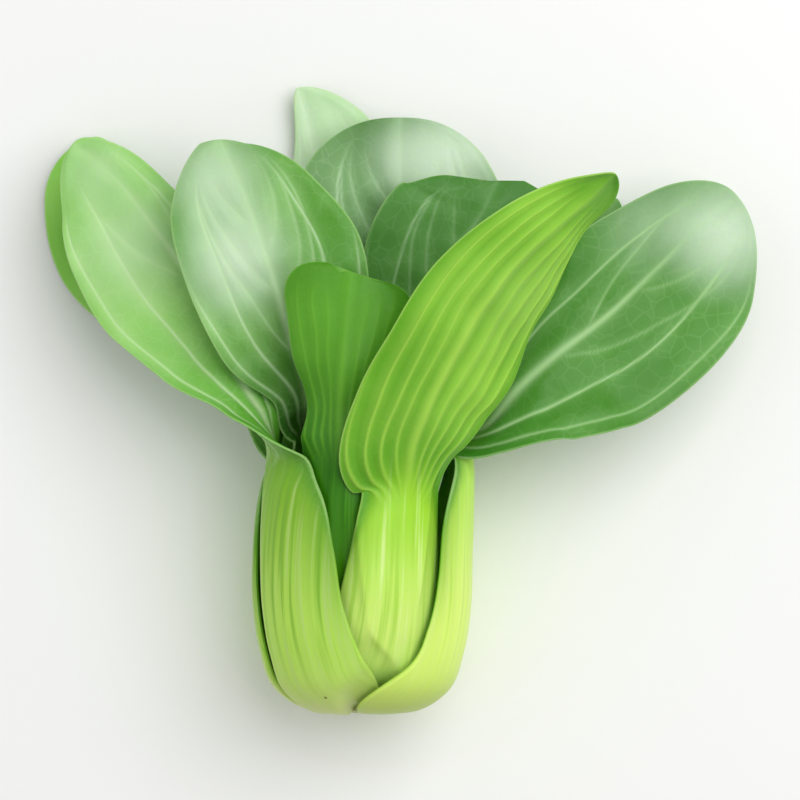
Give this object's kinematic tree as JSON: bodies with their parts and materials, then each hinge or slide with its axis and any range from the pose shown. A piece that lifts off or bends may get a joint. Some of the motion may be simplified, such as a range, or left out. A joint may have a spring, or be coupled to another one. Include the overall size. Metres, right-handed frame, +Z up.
{
  "type": "bok choy",
  "caption": "Head of leafy green cut at the stem and lying on its back, pale petioles nested round a short stem and dark blades fanned out.",
  "frame": {"origin": "centre of the bounding box's footprint, on the table the head lies on", "axes": "+Y from the cut stem to the leaf tips, +X to the side the largest blade spreads to, +Z up from the table"},
  "size_m": [0.2071, 0.1816, 0.0879],
  "materials": {
    "leaf": "waxy dark green blade on a pale green petiole; leather stands in for plant tissue of about the same density",
    "outer_face_leaf": "waxy yellow-green underside of a leaf; leather stands in for plant tissue",
    "heart_leaf": "young pale green leaf; leather stands in for plant tissue",
    "cut_stem": "matt, slightly dry cut plant tissue; leather stands in for it"
  },
  "bodies": {
    "root": {"leaf_right": "leaf", "leaf_far_left": "leaf", "leaf_left": "leaf", "leaf_back_tip": "leaf", "leaf_front": "outer_face_leaf", "leaf_right_back": "leaf", "leaf_inner_front": "outer_face_leaf", "leaf_back": "leaf", "leaf_mid_left": "leaf", "leaf_inner_right": "leaf", "heart_leaf_1": "heart_leaf", "heart_leaf_2": "heart_leaf", "heart_leaf_3": "heart_leaf", "stem_base": "cut_stem"}
  },
  "joints": []
}
